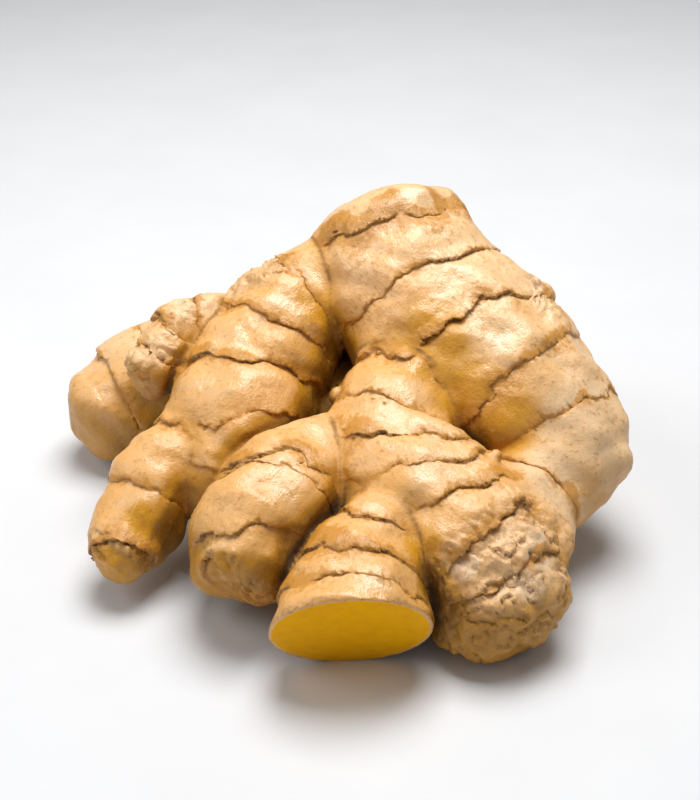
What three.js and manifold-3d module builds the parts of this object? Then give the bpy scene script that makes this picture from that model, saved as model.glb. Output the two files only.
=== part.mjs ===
// A hand of fresh ginger: one rhizome that grew as one piece, lying as on a table.
// A thick crown rises to the back and runs down to the right. A heart grows out of its front and forks
// into a cut finger, a thumb and a knuckle with buds and root stubs. A left branch carries a finger and a
// knob, a saddle and a web fill the hollows between, and two fingers grow down behind.
// Every segment ends in the ragged ring that its scale leaf left.
// Millimetres, +Z up, +X to the right of the cut face's viewer, origin on the table at the box's middle.
import * as THREE from "three";
import { mergeVertices } from "three/addons/utils/BufferGeometryUtils.js";
import Module from "manifold-3d";

const wasm = await Module();
wasm.setup();

// Driving dimensions
const FLAT_SIDE = new THREE.Vector3(0, -0.62, 0.78); // a hand of ginger is pressed flat across this way
const LEDGE = 0.75; // how far a scale ring stands out of the skin
const GROOVE = 0.55; // how deep the skin drops beside the ring
const RING_HALF = 0.45; // half the length of the step from ledge to groove
const BARREL = 0.6; // swell of a segment between its rings
const RING_WOBBLE = 1.0; // how far a ring wanders along its branch
const LUMP = 0.55; // height of the low lumps in the skin
const LUMP_TURN = 0.36; // radians of lump wave for each millimetre
const AROUND = 1.5; // facets around a branch for each millimetre of half-width
const LEAST_AROUND = 14;
const ROW_STEP = 4; // length of a facet between rings
const CAP_TURNS = [0, 30, 58]; // degrees from an end's pole at which its round cap has a row of facets
const STEADY = [-1, 7]; // a ring wanders fully only this far from a branch's end
const CUT_FACE = [4.4, -53, 12]; // middle of the knife cut
const CUT_TURN = [-27, 0, 3]; // degrees by which the cut leans down and turns, from facing the viewer
const ROOT_RADIUS = [1.3, 2.2]; // least and most half-width of a root stub
const ROOT_REACH = [1.2, 2.8]; // how far a stub stands out of the skin
const ROOT_SUNK = 4; // how deep it is rooted
const ROOT_TAPER = [0.6, 2]; // a stub's half-width at its tip and at its sunk end, as shares
const ROOT_SIDES = 8;
const ROOT_SEED = 2029;
const SKY = 300; // larger than the whole hand

// Branches: stations of x, y, z and half-width, the share of that width left across the flat side,
// where the rings sit as shares of the length, how far each round end reaches as a share of its width,
// and whether a scale overlaps the segment after it (1) or the one before it (-1).
const BRANCHES = [
  {
    name: "crown",
    stations: [
      [13.3, 32, 53.5, 16.8],
      [15.1, 25, 47.9, 18],
      [19.7, 18, 41.8, 19.4],
      [28.8, 10.5, 34.7, 20.2],
      [36, 4, 29.3, 20],
      [43.5, -3, 23, 17.5],
      [47.5, -10, 17, 14.5],
    ],
    flat: 0.78,
    rings: [0.04, 0.27, 0.47, 0.7],
    blunt: [0.42, 0.6],
    overlap: 1,
  },
  {
    name: "left_branch",
    stations: [
      [14, 22, 40, 12],
      [-1.5, 23.5, 41.5, 12.2],
      [-11, 17, 35, 14.2],
      [-16.5, 8, 29, 14.6],
      [-19, -2, 23.5, 15],
      [-21, -12, 17, 11.5],
    ],
    flat: 0.85,
    rings: [0.38, 0.56, 0.72, 0.9],
    blunt: [0.8, 0.8],
    overlap: 1,
  },
  {
    name: "heart",
    stations: [
      [19, 8, 34, 12],
      [14.5, -3, 30.5, 12],
      [12.2, -14.5, 25.2, 14.4],
      [17.6, -25, 20.6, 16],
      [27, -34, 15.6, 15.6],
      [31.5, -42, 9.7, 12.8],
    ],
    flat: 0.84,
    rings: [0.2, 0.34, 0.49, 0.64, 0.86],
    blunt: [0.5, 0.75],
    overlap: -1,
  },
  {
    name: "saddle",
    stations: [
      [46, -4, 20, 14],
      [40, -16, 17, 11.5],
      [34, -27, 14.5, 12.5],
    ],
    flat: 0.9,
    rings: [0.6],
    blunt: [0.6, 0.6],
    overlap: 1,
  },
  {
    name: "cut_finger",
    stations: [
      [15, -26, 24, 8],
      [10, -36, 20, 9.5],
      [6, -44, 16, 12.4],
      [4, -58, 9, 15.8],
    ],
    flat: 0.94,
    rings: [0.3, 0.52, 0.7],
    blunt: [0.6, 0.5],
    overlap: 1,
  },
  {
    name: "thumb",
    stations: [
      [2, -14, 24, 9],
      [-8, -23, 21.5, 12.6],
      [-13.5, -32, 18, 12.2],
      [-15, -39, 15, 9.5],
    ],
    flat: 0.95,
    rings: [0.35, 0.72],
    blunt: [0.6, 0.45],
    overlap: 1,
  },
  {
    name: "thumb_underside",
    stations: [
      [-13, -20, 18, 8],
      [-18.5, -28, 15, 8],
      [-19.5, -34, 11, 6.5],
    ],
    flat: 1,
    rings: [0.55],
    blunt: [0.6, 0.7],
    overlap: 1,
  },
  {
    name: "left_finger",
    stations: [
      [-24, -3, 23, 9.3],
      [-33, -11, 19, 8.9],
      [-38, -20, 13, 8.2],
      [-41, -27, 10, 6],
    ],
    flat: 0.97,
    rings: [0.25, 0.62, 0.9],
    blunt: [0.6, 0.75],
    overlap: 1,
  },
  {
    name: "knob",
    stations: [
      [-23, 20, 36, 6.5],
      [-31.5, 16, 35.5, 6.9],
      [-37, 9, 31, 5.8],
    ],
    flat: 1,
    rings: [0.28, 0.62],
    blunt: [0.6, 0.8],
    overlap: 1,
  },
  {
    name: "far_finger",
    stations: [
      [-10, 26, 30, 12],
      [-26, 30, 23.2, 12.6],
      [-38, 30, 16.8, 13.8],
      [-46, 28, 12.8, 13.4],
      [-52, 25, 11, 10.5],
    ],
    flat: 0.92,
    rings: [0.35, 0.6, 0.88],
    blunt: [0.6, 0.7],
    overlap: 1,
  },
  {
    name: "back_finger",
    stations: [
      [20, 22, 36, 14],
      [22, 36, 26, 12.5],
      [26, 46, 14, 11.6],
      [30, 52, 6.4, 9],
    ],
    flat: 0.92,
    rings: [0.42, 0.66, 0.9],
    blunt: [0.6, 0.7],
    overlap: 1,
  },
  {
    name: "crown_bud",
    stations: [
      [37, 15, 39, 6.5],
      [42, 18, 42, 4.4],
      [45, 20, 43.5, 3],
    ],
    flat: 0.9,
    rings: [0.6],
    blunt: [0.6, 0.8],
    overlap: 1,
  },
  {
    name: "hollow_bud",
    stations: [
      [4, 2, 28.5, 3.6],
      [0.2, -1, 30.5, 2.7],
    ],
    flat: 1,
    rings: [0.5],
    blunt: [0.6, 0.8],
    overlap: 1,
  },
  {
    name: "web",
    stations: [
      [16, 18, 26, 12.5],
      [2, 13, 18, 11.5],
      [-10, 6, 17, 11],
    ],
    flat: 0.85,
    rings: [0.5],
    blunt: [0.6, 0.6],
    overlap: 1,
  },
  {
    name: "side_bud",
    stations: [
      [32, -28, 16, 8],
      [38, -32, 15.5, 6],
      [42.5, -34, 14.5, 4.6],
    ],
    flat: 1,
    rings: [0.55],
    blunt: [0.6, 0.6],
    overlap: 1,
  },
  {
    name: "low_bud",
    stations: [
      [33, -36, 10, 6],
      [37, -38, 9.8, 4.6],
      [39.5, -39, 9.5, 3.2],
    ],
    flat: 1,
    rings: [0.55],
    blunt: [0.6, 0.6],
    overlap: 1,
  },
];

// Where roots have broken off: the stretch of each branch as shares of its length, and the degrees around
// it, 0 being its upper flat side and 90 the right when looking along it.
const ROOTS = [
  { branch: "heart", count: 7, share: [0.68, 1], turn: [-140, -60] },
  { branch: "saddle", count: 4, share: [0.3, 1], turn: [-190, -100] },
  { branch: "crown", count: 7, share: [0.3, 0.95], turn: [-215, -125] },
  { branch: "left_branch", count: 5, share: [0.4, 0.9], turn: [130, 215] },
];

// Smooth low lumps, the same wherever the same place is asked for.
function lumpAt(p) {
  const k = LUMP_TURN;
  return (
    LUMP *
    (Math.sin(k * p.x + 1.3 * Math.sin(k * p.z)) * Math.cos(0.9 * k * p.y + 1.1) +
      0.6 * Math.sin(1.7 * k * p.y + k * p.x) * Math.cos(1.5 * k * p.z + 0.4))
  );
}

// Joins a geometry's shared corners, drops triangles that fold to nothing, and makes it a solid.
function solidFrom(geometry) {
  geometry.deleteAttribute("normal");
  geometry.deleteAttribute("uv");
  const merged = mergeVertices(geometry, 1e-4);
  const index = merged.index.array;
  const triangles = [];
  for (let i = 0; i < index.length; i += 3) {
    const [a, b, c] = index.slice(i, i + 3);
    if (a !== b && b !== c && c !== a) triangles.push(a, b, c);
  }
  return new wasm.Manifold(
    new wasm.Mesh({
      numProp: 3,
      vertProperties: merged.attributes.position.array,
      triVerts: new Uint32Array(triangles),
    }),
  );
}

// The outline of a branch as a lathe sees it: radius and distance along, pole to pole.
function branchProfile({ rings, blunt, overlap }, length, radiusAt) {
  const rows = [];
  const cap = (end, sign, angles) => {
    const r = radiusAt(end);
    for (const degrees of angles) {
      const turn = THREE.MathUtils.degToRad(degrees);
      rows.push([r * Math.sin(turn), end + sign * blunt[sign < 0 ? 0 : 1] * r * Math.cos(turn)]);
    }
  };
  cap(0, -1, CAP_TURNS);
  const stops = [0, ...rings.map((share) => share * length), length];
  for (let i = 1; i < stops.length; i++) {
    const [from, to] = [stops[i - 1], stops[i]];
    const steps = Math.max(2, Math.round((to - from) / ROW_STEP));
    for (let k = 0; k < steps; k++) {
      const share = (k + 0.5) / steps;
      const at = from + share * (to - from);
      rows.push([radiusAt(at) + BARREL * Math.sin(Math.PI * share), at]);
    }
    if (i < stops.length - 1) {
      const r = radiusAt(to);
      rows.push([r + (overlap > 0 ? LEDGE : -GROOVE), to - RING_HALF]);
      rows.push([r + (overlap > 0 ? -GROOVE : LEDGE), to + RING_HALF]);
    }
  }
  cap(length, 1, [...CAP_TURNS].reverse());
  return rows.map(([radius, along]) => new THREE.Vector2(Math.max(radius, 0), along));
}

// How a branch lies: its length, its half-width, and the frame that follows its bent axis.
function axisOf({ stations }) {
  const through = (points) => new THREE.CatmullRomCurve3(points, false, "catmullrom", 0.5);
  const spine = through(stations.map(([x, y, z]) => new THREE.Vector3(x, y, z)));
  const girth = through(stations.map((station) => new THREE.Vector3(station[3], 0, 0)));
  const length = spine.getLength();
  const turnAt = (along) => spine.getUtoTmapping(THREE.MathUtils.clamp(along / length, 0, 1));
  const radiusAt = (along) => girth.getPoint(turnAt(along)).x;
  const frameAt = (along) => {
    const ahead = spine.getTangent(turnAt(along));
    const thick = FLAT_SIDE.clone().addScaledVector(ahead, -FLAT_SIDE.dot(ahead)).normalize();
    const wide = new THREE.Vector3().crossVectors(ahead, thick);
    const beyond = along - THREE.MathUtils.clamp(along, 0, length);
    const centre = spine.getPoint(turnAt(along)).addScaledVector(ahead, beyond);
    return { centre, thick, wide };
  };
  return { length, radiusAt, frameAt };
}

// Lathes the branch straight, then bends it along its axis and presses it flat.
function branchSolid(branch, number) {
  const { length, radiusAt, frameAt } = axisOf(branch);
  const widest = Math.max(...branch.stations.map((station) => station[3]));
  const around = Math.max(LEAST_AROUND, Math.round(widest * AROUND));
  const geometry = new THREE.LatheGeometry(branchProfile(branch, length, radiusAt), around);
  const position = geometry.attributes.position;
  const p = new THREE.Vector3();
  for (let i = 0; i < position.count; i++) {
    p.fromBufferAttribute(position, i);
    const out = Math.hypot(p.x, p.z);
    if (out < 1e-6) {
      position.setXYZ(i, ...frameAt(p.y).centre.toArray());
      continue;
    }
    const angle = Math.atan2(p.x, p.z);
    const sway = Math.sin(angle + number + 0.2 * p.y) + 0.6 * Math.sin(3 * angle + 2 * number);
    const ragged = 0.5 * Math.sin(7 * angle + 5 * number + 0.9 * p.y);
    const free = THREE.MathUtils.smoothstep(Math.min(p.y, length - p.y), ...STEADY);
    const { centre, thick, wide } = frameAt(p.y + RING_WOBBLE * free * (sway + ragged));
    const across = wide.multiplyScalar(p.x).addScaledVector(thick, p.z * branch.flat);
    const place = centre.add(across);
    place.addScaledVector(across.normalize(), lumpAt(place));
    position.setXYZ(i, ...place.toArray());
  }
  return solidFrom(geometry);
}

// Repeatable random numbers from 0 to 1.
function scatter(seed) {
  let state = seed;
  return () => {
    state = (state * 16807) % 2147483647;
    return state / 2147483647;
  };
}

// Short blunt stubs of broken roots on the sides of a branch that turn down, sunk well into it.
function rootStubs({ branch: name, count, share, turn }, random) {
  const branch = BRANCHES.find((one) => one.name === name);
  const { length, radiusAt, frameAt } = axisOf(branch);
  const stubs = [];
  for (let i = 0; i < count; i++) {
    const along = length * THREE.MathUtils.lerp(...share, (i + 0.2 + 0.6 * random()) / count);
    const angle = THREE.MathUtils.degToRad(THREE.MathUtils.lerp(...turn, random()));
    const thickness = THREE.MathUtils.lerp(...ROOT_RADIUS, random());
    const reach = THREE.MathUtils.lerp(...ROOT_REACH, random());
    const { centre, thick, wide } = frameAt(along);
    const across = wide.multiplyScalar(Math.sin(angle));
    across.addScaledVector(thick, branch.flat * Math.cos(angle));
    const [tip, base] = ROOT_TAPER.map((share) => share * thickness);
    const stub = new THREE.CylinderGeometry(tip, base, ROOT_SUNK + reach, ROOT_SIDES);
    stub.translate(0, (reach - ROOT_SUNK) / 2, 0);
    const lean = new THREE.Quaternion();
    lean.setFromUnitVectors(new THREE.Vector3(0, 1, 0), across.clone().normalize());
    stub.applyQuaternion(lean);
    stub.translate(...centre.addScaledVector(across, radiusAt(along)).toArray());
    stubs.push(solidFrom(stub));
  }
  return stubs;
}

// A big block with one face at the knife cut, to be taken away from the cut finger.
function knifeBlock() {
  const block = new THREE.BoxGeometry(SKY, SKY, SKY);
  block.translate(0, -SKY / 2, 0);
  const [rx, ry, rz] = CUT_TURN.map(THREE.MathUtils.degToRad);
  block.applyMatrix4(new THREE.Matrix4().makeRotationFromEuler(new THREE.Euler(-rx, ry, rz)));
  block.translate(...CUT_FACE);
  return solidFrom(block);
}

// Everything below the table, so that the hand rests on small flat spots.
function tableBlock() {
  return solidFrom(new THREE.BoxGeometry(SKY, SKY, SKY).translate(0, 0, -SKY / 2));
}

const solids = BRANCHES.map((branch, number) => {
  const solid = branchSolid(branch, number);
  return branch.name === "cut_finger" ? solid.subtract(knifeBlock()) : solid;
});
const random = scatter(ROOT_SEED);
const roots = ROOTS.flatMap((patch) => rootStubs(patch, random));
const hand = wasm.Manifold.union([...solids, ...roots]).subtract(tableBlock());

const made = hand.getMesh();
const geometry = new THREE.BufferGeometry();
geometry.setAttribute("position", new THREE.BufferAttribute(made.vertProperties, made.numProp));
geometry.setIndex(new THREE.BufferAttribute(made.triVerts, 1));
geometry.computeVertexNormals();

const ginger = new THREE.Mesh(
  geometry,
  new THREE.MeshStandardMaterial({ color: 0xe3b578, roughness: 0.55, metalness: 0 }),
);
ginger.name = "ginger_rhizome";

const part = new THREE.Group();
part.add(ginger);
export default part;
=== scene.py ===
import math

import bpy
import numpy as np
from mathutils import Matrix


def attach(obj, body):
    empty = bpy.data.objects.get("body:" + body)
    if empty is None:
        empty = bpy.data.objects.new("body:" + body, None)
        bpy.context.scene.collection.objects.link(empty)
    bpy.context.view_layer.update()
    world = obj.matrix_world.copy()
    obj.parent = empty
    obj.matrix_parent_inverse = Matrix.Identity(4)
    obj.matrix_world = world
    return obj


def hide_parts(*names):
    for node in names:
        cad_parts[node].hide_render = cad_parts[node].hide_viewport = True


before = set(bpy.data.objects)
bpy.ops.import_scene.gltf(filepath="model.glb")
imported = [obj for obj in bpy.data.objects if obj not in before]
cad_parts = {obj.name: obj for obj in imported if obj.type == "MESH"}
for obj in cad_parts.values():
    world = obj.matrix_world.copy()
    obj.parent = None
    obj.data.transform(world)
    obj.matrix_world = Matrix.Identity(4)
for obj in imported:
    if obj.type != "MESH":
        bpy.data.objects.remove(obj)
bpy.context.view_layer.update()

import openvdb
from mathutils import Vector

bl_info = {
    "name": "Fresh ginger hand",
    "version": (1, 0, 0),
    "blender": (4, 5, 0),
    "location": "3D View > Sidebar > Ginger",
    "description": "Builds a hand of fresh ginger with one finger cut across, and a pale table for it",
    "category": "Object",
}

MM = 0.001
NODE = "ginger_rhizome"
BODY = "root"

# The hand's form. Lengths are millimetres: z up from the table, x to the right, y away from the viewer.
FLAT_SIDE = np.array([0, -0.62, 0.78])  # a hand of ginger is pressed flat across this way
SPINE_STEP = 0.8  # from one point of a branch's middle line to the next
BOX_ROOM = 7  # room around a branch in which it is worked out
FAR = 40.0  # stands for far away in the distance fields
CUT_FACE = np.array([4.4, -53, 12])  # middle of the knife cut
CUT_LEAN = 27  # degrees by which the cut leans down
CUT_SWING = 3  # degrees by which it turns
CUT_ROOM = 24  # the cut's rim lies within this distance of its middle
LUMP = 0.55  # height of the low lumps in the skin
LUMP_TURN = 0.36  # radians of lump wave for each millimetre
JAG, JAG_SIZE = 0.75, 3.0  # how far a ring's edge wanders, and the size of its waves
TEAR, TEAR_SIZE = 0.55, 5.0  # how far its torn steps reach, and how far apart they are
PATCHY_SIZE = 9.0  # size of the stretches in which a ring is bold or faint
BLOTCH_SIZE = 6.0  # size of the blotches in which a ring stains the skin
STEP_HALF = 0.16  # half the length of the sharp step at a ring
LEDGE_FADE, GROOVE_FADE = 2.6, 1.5  # how far the ledge and the groove beside a ring reach
OVERHANG, OVERHANG_FADE = 0.3, 0.6  # how far a scale's rim stands over the skin beside it
PULL = 1.7  # vertices this near a ring are drawn towards it
EDGE_REACH = 4.0  # how far from a ring the skin is still marked by it
FULL_SWELL = 14  # segments shorter than this swell less
JOIN_REACH, JOIN_SOFT = 4.0, 0.9  # how far and how softly two branches' skins blend where they join
SEAM_REACH = 2.0  # rings fade this near such a join
NEVER = 2.0  # a share of the length that no branch reaches
FLAKES = 2.6  # torn scales for each swing of the noise that places them
FLAKE_SIZE = 9.0
FLAKE_HEIGHT = 1.1  # how high a torn scale's edge stands
FLAKE_FRAY, FRAY_SIZE = 0.22, 2.2  # how ragged that edge is
PIT_DEPTH, PIT_SIZE = 0.7, 2.4  # pits in the stained skin beside a ring
BROAD_LUMP, BROAD_SIZE = 0.35, 11.0
WRINKLE_SIZE = 2.8
HOLLOW_REACH = {"hollow": 2.5, "shade": 7.0, "valley": 14.0}  # how far out of the skin room is looked for; where there is little room the material paints shade, in hollows, valleys and creases
LIGHT_SIDE = np.array([0, 0.28, 0.96])  # the side from which the main lamp lights the skin: skin facing it is painted paler, as painted light, and skin facing away golden and brown, as painted shade

# Each branch: stations of x, y, z and half-width; the share of that width left across the flat side; its
# rings, each with its boldness, the width of its ochre stain, and the places it passes, as degrees around
# the branch, a share of its length and, where it isn't 1, a share of its boldness; how far the round ends
# reach; how softly it grows out of what carries it; from which share of its length on the skin is rough and
# torn, or sandy; how much deeper its yellow is; and quiet, where no line marks where it joins another.
BRANCHES = [
    {
        "name": "crown",
        "stations": [
            (13.3, 32, 53.5, 16.8), (15.1, 25, 47.9, 18), (19.7, 18, 41.8, 19.4), (28.8, 10.5, 34.7, 20.2),
            (36, 4, 29.3, 20), (43.5, -3, 23, 17.5), (47.5, -10, 17, 14.5),
        ],
        "flat": 0.78, "rings": [
            (
                1.0, 8.0,
                [(-48, 0.03), (-14, 0.083), (-2, 0.054), (10, 0.078), (28, 0.091, 0.7), (50, 0.064, 0.7)],
            ),
            (
                1.0, 1.5,
                [(-60, 0.29, 1.3), (-26, 0.275, 1.3), (1, 0.251, 0.6), (37, 0.265, 0.3), (57, 0.262, 0.3)],
            ),
            (
                1.6, 3.0,
                [(-42, 0.535, 0.5), (-22, 0.471, 0.7), (1, 0.449), (14, 0.434), (29, 0.427), (80, 0.43)],
            ),
            (
                1.1, 4.5,
                [(-60, 0.7, 0.3), (-22, 0.689, 0.5), (-1, 0.681, 0.8), (15, 0.692), (38, 0.705, 0.6)],
            ),
            (0.2, 2.0, [(0, 0.86)]),
        ],
        "blunt": (0.42, 0.6), "blend": 1.0, "sandy": 0.8, "deep": -0.4,
    },
    {
        "name": "left_branch",
        "stations": [
            (14, 22, 40, 12), (-1.5, 23.5, 41.5, 12.2), (-11, 17, 35, 14.2),
            (-16.5, 8, 29, 14.6), (-19, -2, 23.5, 15), (-21, -12, 17, 11.5),
        ],
        "flat": 0.85, "rings": [
            (0.5, 2.0, [(0, 0.3)]),
            (0.8, 3.0, [(-49, 0.427), (-27, 0.45), (0, 0.483), (31, 0.488)]),
            (0.9, 3.5, [(-66, 0.599), (-46, 0.628), (-17, 0.641), (-3, 0.686), (14, 0.676)]),
            (0.9, 1.8, [(-65, 0.788), (-25, 0.827), (12, 0.899), (40, 0.88)]),
            (0.7, 2.0, [(-40, 0.92), (7, 1.03), (60, 1.0)]),
        ],
        "blunt": (0.8, 0.8), "blend": 2.6, "deep": 0.8,
    },
    {
        "name": "heart",
        "stations": [
            (19, 8, 34, 12), (14.5, -3, 30.5, 12), (12.2, -14.5, 25.2, 14.4),
            (17.6, -25, 20.6, 16), (27, -34, 15.6, 15.6), (31.5, -42, 9.7, 12.8),
        ],
        "flat": 0.84, "rings": [
            (0.8, 2.5, [(-40, 0.2), (-5, 0.139), (7, 0.17), (45, 0.134)]),
            (1.1, 2.0, [(-60, 0.37), (-37, 0.343), (-17, 0.331), (6, 0.316), (63, 0.29)]),
            (
                1.1, 3.0,
                [(-40, 0.56), (-18, 0.5), (-2, 0.458), (12, 0.441), (34, 0.412, 0.4), (49, 0.383, 0)],
            ),
            (0.8, 2.5, [(-32, 0.66), (-14, 0.6), (9, 0.555), (29, 0.55, 0.5), (45, 0.5, 0.1)]),
            (
                0.8, 2.5,
                [(-60, 0.78), (-32, 0.759), (-10, 0.716), (1, 0.705), (16, 0.681, 0.5), (32, 0.56, 0)],
            ),
            (0.9, 2.5, [(-60, 0.84), (-9, 0.836), (-1, 0.849), (20, 0.88), (46, 0.909)]),
            (0.9, 2.5, [(-60, 0.93), (14, 0.985), (42, 0.982)]),
        ],
        "blunt": (0.5, 0.75), "blend": 2.2, "rough": 0.82, "deep": 0.8,
    },
    {
        "name": "saddle",
        "stations": [(46, -4, 20, 14), (40, -16, 17, 11.5), (34, -27, 14.5, 12.5)],
        "flat": 0.9, "rings": [(0.7, 2.0, [(0, 0.6)])],
        "blunt": (0.6, 0.6), "blend": 1.8, "sandy": 0.0, "quiet": True,
    },
    {
        "name": "cut_finger",
        "stations": [(15, -26, 24, 8), (10, -36, 20, 9.5), (6, -44, 16, 12.4), (4, -58, 9, 15.8)],
        "flat": 0.94, "rings": [
            (0.7, 2.0, [(-40, 0.3), (40, 0.36)]),
            (0.9, 4.0, [(-60, 0.49), (-30, 0.491), (-3, 0.545), (25, 0.553)]),
            (0.7, 2.5, [(-33, 0.703), (6, 0.712), (47, 0.742)]),
        ],
        "blunt": (0.6, 0.5), "blend": 1.4, "deep": 1.3,
    },
    {
        "name": "thumb",
        "stations": [(2, -14, 24, 9), (-8, -23, 21.5, 12.6), (-13.5, -32, 18, 12.2), (-15, -39, 15, 9.5)],
        "flat": 0.95, "rings": [
            (0.8, 4.0, [(-47, 0.293), (-27, 0.277), (-8, 0.4), (6, 0.362), (46, 0.583)]),
            (0.5, 1.5, [(-50, 0.44), (-25, 0.458), (1, 0.467), (23, 0.53), (50, 0.64)]),
            (0.7, 2.0, [(-60, 0.8), (-10, 0.873), (14, 0.965), (44, 0.92), (90, 0.9)]),
            (0.9, 4.0, [(-110, 1.06), (0, 1.35), (47, 1.02), (70, 1.08), (92, 1.11), (180, 1.11)]),
        ],
        "blunt": (0.6, 0.45), "blend": 1.4, "deep": 1.0,
    },
    {
        "name": "thumb_underside",
        "stations": [(-13, -20, 18, 8), (-18.5, -28, 15, 8), (-19.5, -34, 11, 6.5)],
        "flat": 1, "rings": [(0.7, 2.0, [(0, 0.55)])],
        "blunt": (0.6, 0.7), "blend": 2.0, "deep": 1.0,
    },
    {
        "name": "left_finger",
        "stations": [(-24, -3, 23, 9.3), (-33, -11, 19, 8.9), (-38, -20, 13, 8.2), (-41, -27, 10, 6)],
        "flat": 0.97, "rings": [
            (0.7, 2.0, [(-6, 0.221), (15, 0.251)]),
            (0.5, 2.0, [(0, 0.62)]),
            (0.9, 4.0, [(-82, 0.978), (-25, 1.012), (35, 1.05)]),
        ],
        "blunt": (0.6, 0.75), "blend": 2.6, "deep": 0.8,
    },
    {
        "name": "knob",
        "stations": [(-23, 20, 36, 6.5), (-31.5, 16, 35.5, 6.9), (-37, 9, 31, 5.8)],
        "flat": 1, "rings": [
            (0.8, 2.0, [(-26, 0.384), (40, 0.3)]),
            (0.9, 2.0, [(0, 0.62), (90, 0.56)]),
            (1.0, 2.0, [(0, 0.954), (52, 0.888)]),
        ],
        "blunt": (0.6, 0.8), "blend": 1.6, "rough": 0.75, "deep": 0.5,
    },
    {
        "name": "far_finger",
        "stations": [
            (-10, 26, 30, 12), (-26, 30, 23.2, 12.6), (-38, 30, 16.8, 13.8),
            (-46, 28, 12.8, 13.4), (-52, 25, 11, 10.5),
        ],
        "flat": 0.92, "rings": [
            (0.8, 2.0, [(0, 0.35)]),
            (0.9, 2.0, [(0, 0.6), (60, 0.64)]),
            (0.9, 2.0, [(0, 0.88)]),
        ],
        "blunt": (0.6, 0.7), "blend": 2.6,
    },
    {
        "name": "back_finger",
        "stations": [(20, 22, 36, 14), (22, 36, 26, 12.5), (26, 46, 14, 11.6), (30, 52, 6.4, 9)],
        "flat": 0.92, "rings": [
            (0.9, 2.0, [(0, 0.42)]),
            (0.9, 2.0, [(0, 0.66), (90, 0.62)]),
            (0.9, 2.0, [(0, 0.9)]),
        ],
        "blunt": (0.6, 0.7), "blend": 2.6,
    },
    {
        "name": "crown_bud",
        "stations": [(37, 15, 39, 6.5), (42, 18, 42, 4.4), (45, 20, 43.5, 3)],
        "flat": 0.9, "rings": [(0.8, 2.0, [(0, 0.6)])],
        "blunt": (0.6, 0.8), "blend": 1.6,
    },
    {
        "name": "hollow_bud",
        "stations": [(4, 2, 28.5, 3.2), (1.4, -0.2, 29.8, 2.1)],
        "flat": 1, "rings": [(0.6, 2.0, [(0, 0.5)])],
        "blunt": (0.6, 0.8), "blend": 0.8,
    },
    {
        "name": "web",
        "stations": [(16, 18, 26, 12.5), (2, 13, 18, 11.5), (-10, 6, 17, 11)],
        "flat": 0.85, "rings": [(0.7, 2.0, [(0, 0.5)])],
        "blunt": (0.6, 0.6), "blend": 1.6, "quiet": True,
    },
    {
        "name": "side_bud",
        "stations": [(32, -28, 16, 8), (38, -32, 15.5, 6), (42.5, -34, 14.5, 4.6)],
        "flat": 1, "rings": [(1.0, 2.0, [(0, 0.55)]), (1.0, 2.0, [(0, 0.9)])],
        "blunt": (0.6, 0.6), "blend": 1.4, "rough": 0.2,
    },
    {
        "name": "low_bud",
        "stations": [(33, -36, 10, 6), (37, -38, 9.8, 4.6), (39.5, -39, 9.5, 3.2)],
        "flat": 1, "rings": [(0.9, 2.0, [(0, 0.55)])],
        "blunt": (0.6, 0.6), "blend": 1.2, "rough": 0.1,
    },
]

# Where roots have broken off: the stretch of a branch as shares of its length, and the degrees around it,
# 0 being its upper flat side and 90 the right when looking along it.
ROOTS = [
    {"branch": "heart", "count": 7, "share": (0.68, 1), "turn": (-140, -60)},
    {"branch": "saddle", "count": 4, "share": (0.3, 1), "turn": (-190, -100)},
    {"branch": "crown", "count": 7, "share": (0.3, 0.95), "turn": (-215, -125)},
    {"branch": "left_branch", "count": 5, "share": (0.4, 0.9), "turn": (130, 215)},
]
# Where the skin is so thin that the golden flesh shows through, and how wide.
GOLDEN_PATCHES = [
    ((21.0, -2.0, 42.0), 10.0), ((26.5, -8.5, 36.5), 8.0), ((34.0, -13.0, 31.0), 9.0),
    ((-12.8, -41.5, 12.5), 5.0), ((17.0, -43.0, 24.0), 4.5), ((-36.5, -27.0, 17.5), 4.0),
    ((-42.5, -33.0, 10.0), 6.0), ((-37.5, 3.0, 29.5), 6.0), ((19.5, -47.0, 12.5), 4.5),
    ((-3.0, 12.0, 46.0), 5.0),
]
# Where the dry skin is torn, and how wide.
TORN_SPOTS = [
    ((-14.0, 22.5, 49.0), 7.0), ((-21.0, 20.5, 45.5), 7.0), ((-28.0, 18.0, 43.0), 7.0),
    ((-20.5, -42.0, 19.0), 6.0), ((-14.4, -43.5, 13.5), 6.0), ((-42.0, -31.0, 11.0), 7.0),
    ((44.0, 15.0, 46.0), 5.0), ((44.5, 10.0, 46.0), 5.0), ((43.5, -36.0, 18.0), 6.0),
    ((27.0, -50.0, 17.0), 8.0),
]
# Where a scale has broken off and left pale dry tissue.
PALE_SPOTS = [((38.5, -42.0, 21.0), 4.5), ((36.0, -47.5, 17.5), 3.5), ((24.5, -46.0, 21.5), 3.5)]
ROOT_RADIUS = (1.3, 2.2)  # least and most half-width of a root stub
ROOT_REACH = (1.2, 2.8)  # how far a stub stands out of the skin
ROOT_SUNK = 4.0
ROOT_TAPER = (0.6, 2.0)  # half-width at the tip and at the sunk end, as shares
ROOT_SEED = 2029
STUB_ROOM = 7.0  # room around a stub's foot in which it is worked out
STUB_BLEND = 0.8  # how softly a stub grows out of the skin
JOINT_FADE = 0.6  # half the width of the dark line where two branches join
JOINT_SIZE = 6.0  # size of the stretches in which that line is bold or faint
RAGGED, RAGGED_SIZE = 0.22, 5.0  # how ragged the edges of the spots are
COARSE_STEP = 2.0  # the wide grid, which finds the skin and the hollows
COARSE_FLOOR = -8.0  # the height at which it starts
BAND = 4.0  # the field is cut off this far inside and outside the skin, in fine steps
BLOCK = 200000  # points measured at one time, which saves memory
CUT_RIM = 0.4  # triangles no deeper than this behind the cut face are all kept
CUT_DRAW = 0.8  # vertices this near the knife's plane are drawn onto it, as a share of the grid's step
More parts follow.
